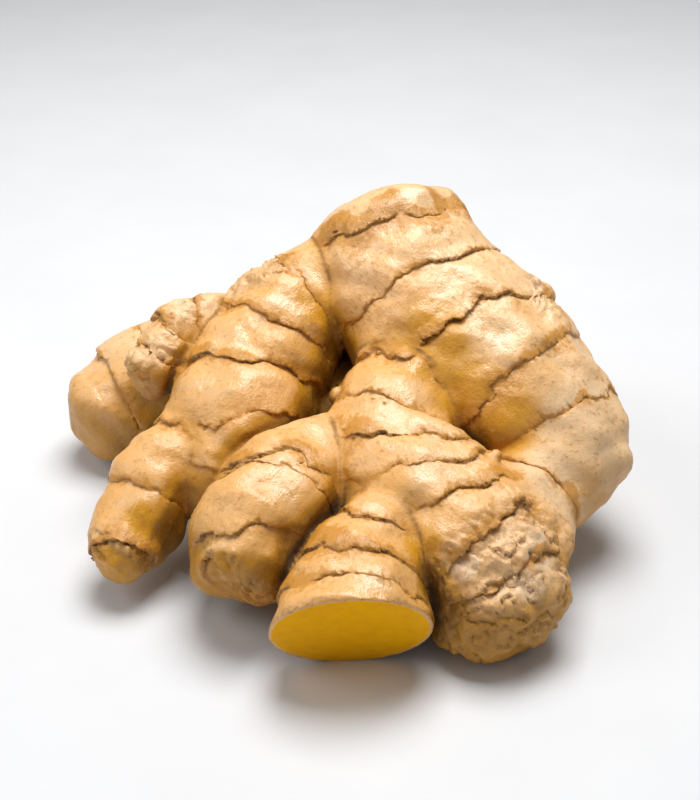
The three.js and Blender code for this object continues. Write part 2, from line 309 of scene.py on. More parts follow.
FACE_DRAW, RIM_DRAW = 0.3, 0.62  # how far outside the skin for the face, and how near it for the rim
PROBE = 0.05  # the step over which the skin's slope is measured

# Seeds of the noises. The branch's number is added to the first four.
JAG_SEED, TEAR_SEED, PATCHY_SEED, BLOTCH_SEED = 50, 90, 130, 170
BROAD_SEED, WRINKLE_SEED, FLAKE_SEED, FRAY_SEED, PIT_SEED = 7, 21, 71, 75, 81
SPOT_SEED, JOINT_SEED = 61, 210

# The stage, in metres.
TARGET = (0.004, 0.002, 0.028)
OVERHEAD_PLACE, OVERHEAD_SIZE = (0.04, 0.12, 0.6), 0.36
LEFT_PLACE, LEFT_SIZE = (-0.5, -0.1, 0.45), 0.4
BEND_STEPS = 16

# Sockets of Blender's Mix node for colours.
MIX_FACTOR, MIX_FIRST, MIX_SECOND, MIX_RESULT = 0, 6, 7, 2


def smoothstep(value, low, high):
    """0 below low, 1 above high, and a soft rise between them."""
    share = np.clip((value - low) / (high - low), 0, 1)
    return share * share * (3 - 2 * share)


def smooth_union(first, second, reach):
    """The union of two distance fields with a fillet of that reach."""
    share = np.clip(0.5 + 0.5 * (first - second) / reach, 0, 1)
    return first + (second - first) * share - reach * share * (1 - share)


def hashed(x, y, z, seed):
    """Repeatable numbers from -1 to 1 for whole-number places."""
    mixed = (x * 73856093) ^ (y * 19349663) ^ (z * 83492791) ^ (seed * 2654435)
    mixed = (mixed ^ (mixed >> 13)) * 1274126177
    mixed = (mixed ^ (mixed >> 16)) & 0xFFFF
    return mixed / 32767.5 - 1.0


def cloud(points, size, seed):
    """Smooth noise from -1 to 1 at the points, with features of that size."""
    scaled = points / size
    cell = np.floor(scaled)
    t = scaled - cell
    t = t * t * (3 - 2 * t)
    cell = cell.astype(np.int64)
    total = np.zeros(len(points))
    for dx in (0, 1):
        wx = t[:, 0] if dx else 1 - t[:, 0]
        for dy in (0, 1):
            wy = t[:, 1] if dy else 1 - t[:, 1]
            for dz in (0, 1):
                wz = t[:, 2] if dz else 1 - t[:, 2]
                corner = hashed(cell[:, 0] + dx, cell[:, 1] + dy, cell[:, 2] + dz, seed)
                total += wx * wy * wz * corner
    return total


def clouds(points, size, seed, octaves):
    """Noise of several sizes, each half as large and half as strong as the one before."""
    total = np.zeros(len(points))
    for k in range(octaves):
        total += cloud(points, size / 2**k, seed + k) / 2**k
    return total


def lump_at(p):
    """Smooth low lumps in the skin, in millimetres."""
    k = LUMP_TURN
    first = np.sin(k * p[:, 0] + 1.3 * np.sin(k * p[:, 2])) * np.cos(0.9 * k * p[:, 1] + 1.1)
    second = np.sin(1.7 * k * p[:, 1] + k * p[:, 0]) * np.cos(1.5 * k * p[:, 2] + 0.4)
    return LUMP * (first + 0.6 * second)


def through(stations, per_span=60):
    """Many points along the smooth line through the stations."""
    rows = np.array(stations, float)
    rows = np.vstack([2 * rows[0] - rows[1], rows, 2 * rows[-1] - rows[-2]])
    t = np.linspace(0, 1, per_span, endpoint=False)[:, None]
    spans = []
    for i in range(1, len(rows) - 2):
        before, start, stop, after = rows[i - 1:i + 3]
        leave, reach = 0.5 * (stop - before), 0.5 * (after - start)
        square = -3 * start + 3 * stop - 2 * leave - reach
        cube = 2 * start - 2 * stop + leave + reach
        spans.append(start + leave * t + square * t**2 + cube * t**3)
    spans.append(rows[-2][None])
    return np.vstack(spans)


class Branch:
    """One branch of the hand: its middle line, half-width, rings and round ends."""

    def __init__(self, number, row):
        self.number, self.row = number, row
        fine = through(row["stations"])
        travelled = np.linalg.norm(np.diff(fine[:, :3], axis=0), axis=1)
        along = np.concatenate([[0], np.cumsum(travelled)])
        self.length = along[-1]
        count = max(4, round(self.length / SPINE_STEP)) + 1
        self.at = np.linspace(0, self.length, count)
        self.line = np.stack([np.interp(self.at, along, fine[:, i]) for i in range(4)], 1)
        ahead = np.gradient(self.line[:, :3], self.at, axis=0)
        self.ahead = ahead / np.linalg.norm(ahead, axis=1, keepdims=True)
        thick = FLAT_SIDE - self.ahead * (self.ahead @ FLAT_SIDE)[:, None]
        self.thick = thick / np.linalg.norm(thick, axis=1, keepdims=True)
        self.wide = np.cross(self.ahead, self.thick)
        room = self.line[:, 3:].max() + BOX_ROOM
        self.low = self.line[:, :3].min(0) - room
        self.high = self.line[:, :3].max(0) + room

    def measure(self, points):
        """For each point: distance outside the branch, place along it, angle around it, half-width."""
        nearest = np.empty(len(points), np.int64)
        centres = self.line[:, :3]
        for start in range(0, len(points), BLOCK):
            some = points[start:start + BLOCK]
            apart = (centres**2).sum(1)[None] - 2 * some @ centres.T
            nearest[start:start + BLOCK] = apart.argmin(1)
        offset = points - centres[nearest]
        forward = (offset * self.ahead[nearest]).sum(1)
        along = self.at[nearest] + forward
        place = np.clip(along, 0, self.length) / (self.length / (len(self.at) - 1))
        i = np.minimum(place.astype(np.int64), len(self.at) - 2)
        t = (place - i)[:, None]
        line = self.line[i] * (1 - t) + self.line[i + 1] * t
        thick = self.thick[i] * (1 - t) + self.thick[i + 1] * t
        wide = self.wide[i] * (1 - t) + self.wide[i + 1] * t
        offset = points - line[:, :3]
        across = (offset * wide).sum(1)
        up = (offset * thick).sum(1) / self.row["flat"]
        before, after = np.maximum(-along, 0), np.maximum(along - self.length, 0)
        past = before / self.row["blunt"][0] + after / self.row["blunt"][1]
        pressed = np.sqrt(across**2 + up**2 + past**2) + 1e-9
        true = np.sqrt(across**2 + (up * self.row["flat"])**2 + (before + after)**2)
        return (pressed - line[:, 3]) * true / pressed, along, np.arctan2(across, up), line[:, 3]

    def ahead_at(self, along):
        """The way ahead along the branch there."""
        last = len(self.at) - 1
        return self.ahead[np.clip((along / self.length * last).astype(int), 0, last)]

    def place(self, along, angle):
        """Middle of the branch there, the way out to its skin at that angle, and its half-width."""
        values = [np.interp(along, self.at, self.line[:, i]) for i in range(4)]
        thick = np.array([np.interp(along, self.at, self.thick[:, i]) for i in range(3)])
        wide = np.array([np.interp(along, self.at, self.wide[:, i]) for i in range(3)])
        out = wide * math.sin(angle) + thick * self.row["flat"] * math.cos(angle)
        return np.array(values[:3]), out, values[3]


def plane_normal():
    """Out of the cut face, towards the viewer and down."""
    lean, swing = math.radians(CUT_LEAN), math.radians(CUT_SWING)
    inward = np.array([-math.sin(swing), math.cos(swing) * math.cos(lean), math.cos(swing) * math.sin(lean)])
    return -inward


def cut_height(points):
    """How far the points lie in front of the knife's plane."""
    return (points - CUT_FACE) @ plane_normal()


def sharpen_cut(branches, points, step):
    """Draws the vertices next to the knife's cut onto its flat face and onto its sharp rim."""
    finger = next(b for b in branches if b.row["name"] == "cut_finger")
    normal = plane_normal()
    beside = np.linalg.norm(points - CUT_FACE, axis=1) < CUT_ROOM
    index = np.flatnonzero(beside)
    side = finger.measure(points[index])[0]
    height = cut_height(points[index])
    flat = index[(np.abs(height) < CUT_DRAW * step) & (side < FACE_DRAW * step)]
    points[flat] -= cut_height(points[flat])[:, None] * normal
    rim = index[(np.abs(height) < CUT_DRAW * step) & (np.abs(side) < RIM_DRAW * step)]
    for _ in range(3):
        here = points[rim]
        side = finger.measure(here)[0]
        slope = np.stack([finger.measure(here + PROBE * axis)[0] - side for axis in np.eye(3)], 1) / PROBE
        slope -= (slope @ normal)[:, None] * normal
        slope /= np.maximum((slope**2).sum(1), 0.05)[:, None]
        points[rim] = here - side[:, None] * slope
        points[rim] -= cut_height(points[rim])[:, None] * normal
    return points


def scatter(seed):
    """Repeatable random numbers from 0 to 1."""
    state = seed
    while True:
        state = state * 16807 % 2147483647
        yield state / 2147483647


def root_stubs(branches):
    """Foot, direction, half-width and reach of each broken root."""
    random = scatter(ROOT_SEED)
    stubs = []
    for patch in ROOTS:
        branch = next(b for b in branches if b.row["name"] == patch["branch"])
        for i in range(patch["count"]):
            low, high = patch["share"]
            along = branch.length * (low + (high - low) * (i + 0.2 + 0.6 * next(random)) / patch["count"])
            low, high = patch["turn"]
            angle = math.radians(low + (high - low) * next(random))
            radius = ROOT_RADIUS[0] + (ROOT_RADIUS[1] - ROOT_RADIUS[0]) * next(random)
            reach = ROOT_REACH[0] + (ROOT_REACH[1] - ROOT_REACH[0]) * next(random)
            middle, out, half = branch.place(along, angle)
            stubs.append((middle + out * half, out / np.linalg.norm(out), radius, reach))
    return stubs


def stub_distance(points, stub):
    """Distance outside one root stub, a short cone with a blunt end."""
    foot, way, radius, reach = stub
    offset = points - foot
    height = offset @ way
    side = np.sqrt(np.maximum((offset**2).sum(1) - height**2, 0))
    share = np.clip((height + ROOT_SUNK) / (ROOT_SUNK + reach), 0, 1)
    girth = radius * (ROOT_TAPER[1] + (ROOT_TAPER[0] - ROOT_TAPER[1]) * share)
    return np.maximum(side - girth, np.maximum(height - reach, -ROOT_SUNK - height))


def hand_field(branches, stubs, points):
    """Distance outside the whole hand, without its rings."""
    total = np.full(len(points), FAR)
    for branch in branches:
        inside = np.flatnonzero(((points > branch.low) & (points < branch.high)).all(1))
        distance = branch.measure(points[inside])[0]
        if branch.row["name"] == "cut_finger":
            distance = np.maximum(distance, cut_height(points[inside]))
        total[inside] = smooth_union(total[inside], distance, branch.row["blend"])
    for stub in stubs:
        inside = np.flatnonzero((np.abs(points - stub[0]) < STUB_ROOM).all(1))
        total[inside] = smooth_union(total[inside], stub_distance(points[inside], stub), STUB_BLEND)
    return np.maximum(total, -points[:, 2])


def grid_points(low, step, shape):
    """The places of a grid's points."""
    axes = [low[i] + step * np.arange(shape[i]) for i in range(3)]
    return np.stack(np.meshgrid(*axes, indexing="ij"), -1).reshape(-1, 3)


class Coarse:
    """The distance field on a wide grid, which can be asked for any place."""

    def __init__(self, branches, stubs, step):
        self.step = step
        self.low = np.min([b.low for b in branches], 0)
        self.low[2] = COARSE_FLOOR
        high = np.max([b.high for b in branches], 0)
        self.shape = np.ceil((high - self.low) / step).astype(int) + 1
        points = grid_points(self.low, step, self.shape)
        self.values = hand_field(branches, stubs, points).reshape(self.shape)

    def at(self, points):
        """The field at the points, smoothly between the grid's own."""
        place = np.clip((points - self.low) / self.step, 0, np.array(self.shape) - 1.001)
        cell = place.astype(np.int64)
        t = place - cell
        total = np.zeros(len(points))
        for corner in np.ndindex(2, 2, 2):
            weight = np.ones(len(points))
            for axis in range(3):
                weight *= t[:, axis] if corner[axis] else 1 - t[:, axis]
            x, y, z = (cell[:, axis] + corner[axis] for axis in range(3))
            total += weight * self.values[x, y, z]
        return total


def rough_body(branches, stubs, coarse, step):
    """A closed mesh of the whole hand without its rings: vertices in millimetres, and triangles."""
    ratio = round(coarse.step / step)
    fine_step = coarse.step / ratio
    near = np.abs(coarse.values) < coarse.step * 0.87 + 3 * fine_step + 0.5
    field = np.repeat(np.repeat(np.repeat(coarse.values, ratio, 0), ratio, 1), ratio, 2)
    cells = np.argwhere(near)
    inner = np.stack(np.meshgrid(*[np.arange(ratio)] * 3, indexing="ij"), -1).reshape(-1, 3)
    places = (cells[:, None] * ratio + inner[None]).reshape(-1, 3)
    start = coarse.low - coarse.step / 2 + fine_step / 2
    values = hand_field(branches, stubs, places * fine_step + start)
    field[tuple(places.T)] = values
    grid = openvdb.FloatGrid(BAND)
    grid.copyFromArray(np.clip(field, -BAND, BAND).astype(np.float32), tolerance=0.0)
    points, quads = grid.convertToQuads(isovalue=0.0)
    points = sharpen_cut(branches, points * fine_step + start, fine_step)
    triangles = np.concatenate([quads[:, [0, 1, 2]], quads[:, [0, 2, 3]]])
    return points.astype(float), triangles


def vertex_normals(points, triangles):
    """Outward direction at each vertex."""
    a, b, c = (points[triangles[:, i]] for i in range(3))
    face = np.cross(b - a, c - a)
    total = np.zeros_like(points)
    for i in range(3):
        for axis in range(3):
            total[:, axis] += np.bincount(triangles[:, i], face[:, axis], len(points))
    return total / np.maximum(np.linalg.norm(total, axis=1, keepdims=True), 1e-12)


def ring_path(places, angle):
    """Share of the branch's length at which a ring lies and share of its boldness, for each angle around."""
    degrees = np.degrees(angle)
    knots = sorted((*place, 1.0)[:3] for place in places)
    first, last = knots[0], knots[-1]
    knots = [(last[0] - 360, *last[1:])] + knots + [(first[0] + 360, *first[1:])]
    share, strength = np.zeros(len(angle)), np.ones(len(angle))
    for (from_angle, from_share, from_bold), (to_angle, to_share, to_bold) in zip(knots, knots[1:]):
        for turn in (-360, 0, 360):
            at = degrees + turn
            there = (at >= from_angle) & (at < to_angle)
            way = smoothstep(at[there], from_angle, to_angle)
            share[there] = from_share + (to_share - from_share) * way
            strength[there] = from_bold + (to_bold - from_bold) * way
    return share, strength


def ring_gaps(branch, points, along, angle):
    """Signed distance to the nearest ring, in millimetres, how bold that ring is there, how much the segment
    swells, and how much the rings stain the skin."""
    number, length = branch.number, branch.length
    fine = clouds(points, JAG_SIZE, JAG_SEED + number, 3)
    torn = np.round(1.5 * clouds(points, TEAR_SIZE, TEAR_SEED + number, 2)) * TEAR
    patchy = clouds(points, PATCHY_SIZE, PATCHY_SEED + number, 2)
    blotchy = clouds(points, BLOTCH_SIZE, BLOTCH_SEED + number, 2)
    best = np.full(len(points), FAR)
    bold = np.zeros(len(points))
    last = np.zeros(len(points)) - 4.0
    swell = np.zeros(len(points))
    ochre = np.zeros(len(points))
    for k, (strength, stain, places) in enumerate(branch.row["rings"]):
        share, local = ring_path(places, angle)
        at = share * length
        gap = along - at - JAG * fine - torn
        nearer = np.abs(gap) < np.abs(best)
        best = np.where(nearer, gap, best)
        local *= strength * np.clip(0.8 + 1.1 * patchy + 0.25 * np.sin(2.3 * angle + 4 * k), 0.15, 1.5)
        bold = np.where(nearer, local, bold)
        reach = stain * np.clip(0.7 + 0.7 * blotchy, 0.1, 1.5)
        ochre = np.maximum(ochre, (1 - np.abs(gap) / reach) * np.where(gap < 0, 1.0, 0.45))
        swell = np.where((along >= last) & (along < at), swell_between(along, last, at), swell)
        last = at
    swell = np.where(along >= last, swell_between(along, last, length + 6), swell)
    return best, bold, swell, ochre


def swell_between(along, start, stop):
    """How much a segment swells between two rings, from 0 to 1; short ones swell less."""
    span = np.maximum(stop - start, 0.1)
    return np.sin(np.pi * np.clip((along - start) / span, 0, 1)) * np.clip(span / FULL_SWELL, 0.1, 1)


def ring_relief(gap, ledge, groove):
    """Height of the skin beside a ring: a dry scale's rim on one side, a dropped skin on the other."""
    rim = ledge * np.exp(-np.maximum(-gap, 0) / LEDGE_FADE)
    drop = -groove * np.exp(-np.maximum(gap, 0) / GROOVE_FADE)
    share = smoothstep(gap, -STEP_HALF, STEP_HALF)
    return rim * (1 - share) + drop * share


def ring_pull(gap, bold):
    """How far the skin beside a ring is drawn along the branch, so that the ring's step is sharp and the rim
    stands over what is beside it."""
    pull = np.where(np.abs(gap) < PULL, gap * (np.abs(gap) / PULL - 1), 0)
    return pull + OVERHANG * bold * np.exp(-np.abs(gap) / OVERHANG_FADE) * (gap < 0)


def near_branches(branches, points):
    """For each branch: the points near it, how far outside it they are, and where along and around it. Also
    how far outside the nearest branch each point is."""
    nearest = np.full(len(points), FAR)
    fields = []
    for branch in branches:
        inside = np.flatnonzero(((points > branch.low) & (points < branch.high)).all(1))
        fields.append((inside, *branch.measure(points[inside])))
        nearest[inside] = np.minimum(nearest[inside], fields[-1][1])
    return fields, nearest


def branch_marks(branch, points, along, angle, around):
    """The gap to the nearest ring, the swell, and what the material needs to know of this branch's skin."""
    gap, bold, swell, ochre = ring_gaps(branch, points, along, angle)
    near = np.clip(1 - np.abs(gap) / EDGE_REACH, 0, 1)
    rough_from = branch.row.get("rough", NEVER) * branch.length
    sandy_from = branch.row.get("sandy", NEVER) * branch.length
    torn = smoothstep(along, rough_from - 3, rough_from + 3)
    return gap, swell, {
        "near": near, "bold": bold, "side": near * np.sign(gap), "ochre": ochre,
        "tip": smoothstep(along, branch.length - 1, branch.length + 5),
        "rough": torn,
        "sandy": smoothstep(along, sandy_from - 5, sandy_from + 5),
        "deep": branch.row.get("deep", 0.0) * (1 - torn),
        "run": along, "turn": angle * around,
    }


def dress_branches(branches, points, settings):
    """The height and the slide of the skin by the rings and swells of all branches, the marks of their skin,
    and how far each point is from a join."""
    count = len(points)
    fields, nearest = near_branches(branches, points)
    weight_sum, height, relief = np.zeros(count), np.zeros(count), np.zeros(count)
    slide = np.zeros((count, 3))
    marks = {}
    second, joint = np.full(count, FAR), np.full(count, FAR)
    for branch, (inside, distance, along, angle, around) in zip(branches, fields):
        over = distance - nearest[inside]
        own = over <= 0
        other = inside[~own]
        second[other] = np.minimum(second[other], over[~own])
        if branch.row.get("quiet"):
            joint[inside[own]] = -FAR
        else:
            joint[other] = np.minimum(joint[other], over[~own])
        close = over < JOIN_REACH
        inside, along = inside[close], along[close]
        weight = np.exp(-over[close] / JOIN_SOFT)
        gap, swell, here = branch_marks(branch, points[inside], along, angle[close], around[close])
        bold = here["bold"]
        relief[inside] += weight * ring_relief(gap, settings.ledge / MM * bold, settings.groove / MM * bold)
        height[inside] += weight * settings.barrel / MM * swell
        slide[inside] += (weight * ring_pull(gap, bold))[:, None] * branch.ahead_at(along)
        weight_sum[inside] += weight
        for name, values in here.items():
            marks.setdefault(name, np.zeros(count))[inside] += weight * values
    seam = smoothstep(second, 0.0, SEAM_REACH)
    height = (height + relief * seam) / weight_sum
    slide *= (seam / weight_sum)[:, None]
    marks = {name: values / weight_sum for name, values in marks.items()}
    marks["seam"] = smoothstep(second, 0.4, 2.4)
    return height, slide, marks, joint


def mark_surroundings(coarse, points, normals, joint, marks):
    """Adds the marks of torn, thin and pale spots, of hollows and of joins."""
    for name, spots in (("rough", TORN_SPOTS), ("gold", GOLDEN_PATCHES), ("pale", PALE_SPOTS)):
        marks[name] = np.maximum(marks.get(name, 0), spot_marks(points, spots))
    table = np.clip(1 - points[:, 2] / 9, 0, 1) * np.clip(-normals[:, 2], 0, 1)
    # How enclosed the skin is at each reach; the material paints this as shade.
    for name, reach in HOLLOW_REACH.items():
        closed = 1 - np.clip(coarse.at(points + normals * reach) / reach, 0, 1)
        marks[name] = np.clip(closed - table, 0, 1)
    joined = np.exp(-np.abs(joint) / JOINT_FADE) * smoothstep(marks["hollow"], 0.0, 0.12)
    marks["joint"] = joined * np.clip(0.85 + 0.7 * clouds(points, JOINT_SIZE, JOINT_SEED, 2), 0, 1)
    # How squarely the skin faces the main lamp; the material paints the skin paler there as light, and
    # golden and brown away from it as shade.
    marks["lit"] = normals @ LIGHT_SIDE


def skin_height(points, marks, settings):
    """Height of the lumps, wrinkles, torn scales and pits, and where the scales' edges are."""
    height = lump_at(points) + BROAD_LUMP * clouds(points, BROAD_SIZE, BROAD_SEED, 2)
    height += settings.wrinkle / MM * clouds(points, WRINKLE_SIZE, WRINKLE_SEED, 3)
    fray = FLAKE_FRAY * clouds(points, FRAY_SIZE, FRAY_SEED, 2)
    flaky = FLAKES * (clouds(points, FLAKE_SIZE, FLAKE_SEED, 2) + fray)
    part = flaky - np.floor(flaky)
    height += marks["rough"] * (FLAKE_HEIGHT * (smoothstep(part, 0, 0.15) - part) - 0.3)
    pits = np.maximum(cloud(points, PIT_SIZE, PIT_SEED), 0)
    height -= PIT_DEPTH * np.clip(marks["ochre"], 0, 1) * pits
    return height, marks["rough"] * np.exp(-np.minimum(part, 1 - part) / 0.07)


def dress_body(branches, coarse, points, triangles, settings):
    """Raises rings, swells, lumps and wrinkles on the rough body. Gives the new vertices and what the
    material needs to know at each of them."""
    normals = vertex_normals(points, triangles)
    height, slide, marks, joint = dress_branches(branches, points, settings)
    slide -= normals * (slide * normals).sum(1)[:, None]
    mark_surroundings(coarse, points, normals, joint, marks)
    fine, marks["flake"] = skin_height(points, marks, settings)
    height += fine
    height = np.where(height > 0, height * (1 - smoothstep(marks["hollow"], 0.25, 0.8)), height)

    on_cut, marks["rind"] = cut_near(branches, points)
    off_cut = np.where(on_cut, smoothstep(-cut_height(points), 0.3, 1.2), 1.0)
    off_table = smoothstep(points[:, 2], 0.1, 1.5)
    moved = points + (slide + normals * height[:, None]) * (off_cut * off_table)[:, None]
    moved[:, 2] = np.maximum(moved[:, 2], 0)
    marks["cut"] = on_cut.astype(float)
    return moved, marks


def spot_marks(points, spots):
    """1 in the middle of each spot and 0 away from all, with ragged edges between."""
    total = np.zeros(len(points))
    ragged = RAGGED * clouds(points, RAGGED_SIZE, SPOT_SEED, 3)
    for centre, reach in spots:
        away = np.linalg.norm(points - np.array(centre), axis=1) / reach
        total = np.maximum(total, 1 - smoothstep(away + ragged, 0.5, 1.1))
    return total


def cut_near(branches, points):
    """True on and round the cut face, and how deep under the skin the place lies, as a share of 2 mm."""
    finger = next(b for b in branches if b.row["name"] == "cut_finger")
    reach = np.linalg.norm(points - CUT_FACE, axis=1) < CUT_ROOM
    distance = np.full(len(points), FAR)
    distance[reach] = finger.measure(points[reach])[0]
    return (distance < 1.2) & (cut_height(points) > -3), np.clip(-distance / 2, 0, 1)


def mesh_piece(name, points, triangles, marks):
    """A Blender object from vertices in millimetres, with one named number list for each mark."""
    mesh = bpy.data.meshes.new(name)
    mesh.vertices.add(len(points))
    mesh.vertices.foreach_set("co", (points * MM).astype(np.float32).ravel())
    mesh.loops.add(triangles.size)
    mesh.loops.foreach_set("vertex_index", triangles.astype(np.int32).ravel())
    mesh.polygons.add(len(triangles))
    mesh.polygons.foreach_set("loop_start", np.arange(0, triangles.size, 3, dtype=np.int32))
    mesh.polygons.foreach_set("use_smooth", np.ones(len(triangles), bool))
    mesh.update(calc_edges=True)
    for mark, values in marks.items():
        attribute = mesh.attributes.new(mark, "FLOAT", "POINT")
        attribute.data.foreach_set("value", values.astype(np.float32))
    piece = bpy.data.objects.new(name, mesh)
    bpy.context.scene.collection.objects.link(piece)
    return piece


def thin_out(piece, most, kept):
    """Merges the triangles that carry least form until no more than most are left, but none at the vertices
    to be kept."""
    count = len(piece.data.polygons)
    if count <= most:
        return
    free = piece.vertex_groups.new(name="free_to_merge")
    free.add(np.flatnonzero(~kept).tolist(), 1.0, "ADD")
    modifier = piece.modifiers.new("fewer_triangles", "DECIMATE")
    modifier.vertex_group = free.name
    modifier.ratio = most / count
    made = bpy.data.meshes.new_from_object(piece.evaluated_get(bpy.context.evaluated_depsgraph_get()))
    old = piece.data
    piece.modifiers.clear()
    piece.data = made
    made.name = old.name + "_mesh"
    bpy.data.meshes.remove(old)


class Wire:
    """One output in a material. Sums on it are written as sums and add the Math nodes."""

    def __init__(self, board, socket):
        self.board, self.socket = board, socket

    def _sum(self, operation, *terms):
        return self.board.add("ShaderNodeMath", {"operation": operation}, dict(enumerate(terms)))

    def __add__(self, other):
        return self._sum("ADD", self, other)

    def __sub__(self, other):
        return self._sum("SUBTRACT", self, other)

    def __mul__(self, other):
        return self._sum("MULTIPLY", self, other)

    def __truediv__(self, other):
        return self._sum("DIVIDE", self, other)

    def __radd__(self, other):
        return self._sum("ADD", other, self)

    def __rsub__(self, other):
        return self._sum("SUBTRACT", other, self)

    def __rmul__(self, other):
        return self._sum("MULTIPLY", other, self)

    def least(self, other):
        """The smaller of the two."""
        return self._sum("MINIMUM", self, other)

    def most(self, other):
        """The larger of the two."""
        return self._sum("MAXIMUM", self, other)

    def rise(self, low, high):
        """0 below low, 1 above high, and a soft rise between them."""
        places = {"Value": self, "From Min": low, "From Max": high}
        return self.board.add("ShaderNodeMapRange", {"interpolation_type": "SMOOTHSTEP"}, places)


class Board:
    """A material's nodes."""

    def __init__(self, name):
        self.material = bpy.data.materials.new(name)
        self.material.use_nodes = True
        self.tree = self.material.node_tree
        self.tree.nodes.clear()

    def add(self, kind, settings=None, inputs=None, output=0):
        """Adds a node of that kind, sets it, then joins or fills its sockets, and gives one output."""
        node = self.tree.nodes.new(kind)
        for name, value in (settings or {}).items():
            setattr(node, name, value)
        for name, value in (inputs or {}).items():
            if isinstance(value, Wire):
                self.tree.links.new(value.socket, node.inputs[name])
            else:
                node.inputs[name].default_value = value
        return Wire(self, node.outputs[output]) if len(node.outputs) else None

    def mark(self, name):
        """A number that the mesh carries at each vertex."""
        return self.add("ShaderNodeAttribute", {"attribute_name": name}, output="Fac")

    def place(self):
        """Where the point is, in metres."""
        return self.add("ShaderNodeTexCoord", output="Object")

    def noise(self, place, size, detail=3.0, rough=0.55):
        """Cloudy numbers around a half, with features of that size in millimetres."""
        inputs = {"Vector": place, "Scale": 1 / (size * MM), "Detail": detail, "Roughness": rough}
        return self.add("ShaderNodeTexNoise", None, inputs)

    def blend(self, factor, first, second):
        """The first colour where factor is 0, the second where it is 1."""
        settings = {"data_type": "RGBA"}
        sockets = {MIX_FACTOR: factor, MIX_FIRST: first, MIX_SECOND: second}
        return self.add("ShaderNodeMix", settings, sockets, output=MIX_RESULT)

    def along(self, place, direction, start):
        """How far a place lies along a direction from a start, in metres."""
        offset = self.add("ShaderNodeVectorMath", {"operation": "SUBTRACT"}, {0: place, 1: start})
        dot = {"operation": "DOT_PRODUCT"}
        return self.add("ShaderNodeVectorMath", dot, {0: offset, 1: direction}, output="Value")


def opaque(colour):
    """A colour property as four numbers."""
    return (*colour, 1.0)


def skin_colour(board, look, place, grain):
    """Tan skin, golden where it is thin, and brown where it is torn. Paler where it faces the main lamp, as
    painted light, and golden and brown on the sides facing away from it and in hollows, partly its own tone
    and partly painted shade.
    """
    valley, shade = board.mark("valley"), board.mark("shade")
    rough, sandy, tip, deep = (board.mark(name) for name in ("rough", "sandy", "tip", "deep"))
    gold, pale = board.mark("gold"), board.mark("pale")
    mottle, specks, pores, streaks = grain
    broad = board.noise(place, 20, 3)
    lit = board.mark("lit") - deep * 0.28

    # Deeper skin where it faces away from the main lamp and paler where it faces it: partly the skin's own
    # tone, partly painted light and shade.
    warm_tone_and_shade = (broad + (0.7 - lit) * 0.5 + deep * 0.12).rise(0.35, 0.73)
    colour = board.blend(warm_tone_and_shade, opaque(look.skin_light), opaque(look.skin_deep))
    colour = board.blend(mottle.rise(0.5, 0.75) * 0.4, colour, opaque(look.skin_deep))
    colour = board.blend(mottle.rise(0.48, 0.3) * 0.4, colour, opaque(look.dry))
    colour = board.blend(sandy.most(rough * 0.7) * 0.6, colour, opaque(look.dry))
    # Golden on the sides facing away from the main lamp and in valleys and hollows, as painted shade, with
    # some golden tone of the skin's own at tips and joins.
    facing_away_from_lamp = 1 - (lit + (mottle - 0.5) * 0.5 + (streaks - 0.5) * 0.3).rise(-0.45, 0.6)
    sides = facing_away_from_lamp + valley.rise(0.3, 0.9) * 0.8 + shade.rise(0.15, 0.8) * 0.8 + tip * 0.3
    sides = sides + (1 - board.mark("seam")) * 0.3
    sides = (sides + (specks - 0.5) * 0.3).most(0.0).least(0.95) * (1 - sandy * 0.6)
    colour = board.blend(sides, colour, opaque(look.golden))
    thin = (gold + (streaks - 0.5) * 0.9 * gold).most(0.0).least(1.0)
    colour = board.blend(thin * 0.9, colour, opaque(look.golden_patch))
    # Brown where the skin faces away from the lamp and in hollows: painted shade, mixed with mottled brown
    # of the skin's own.
    brown = (facing_away_from_lamp * 0.7 + shade * 0.65 + valley * 0.3 + (mottle - 0.5) * 0.7).rise(0.65, 1.15)
    brown = brown * (1 - sandy * 0.5) * (1 - tip * 0.7)
    colour = board.blend(brown * 0.8, colour, opaque(look.brown))
    scars = (pale + (specks - 0.5) * 1.2).rise(0.35, 0.8)
    colour = board.blend(scars * 0.55, colour, opaque(look.scar))

    colour = board.blend(specks.rise(0.56, 0.7) * 0.35, colour, opaque(look.rim_ochre))
    colour = board.blend(streaks.rise(0.55, 0.75) * 0.25, colour, opaque(look.golden))
    blotch = (mottle + (specks - 0.5) * 0.5).rise(0.46, 0.6) * rough
    colour = board.blend(blotch * (0.4 - tip * 0.2), colour, opaque(look.rim_ochre))
    dots = (specks * 0.4 + pores * 0.6 + sandy * 0.01).rise(0.62, 0.67) * (0.3 + 0.1 * sandy)
    return board.blend(dots, colour, opaque(look.rim_brown))


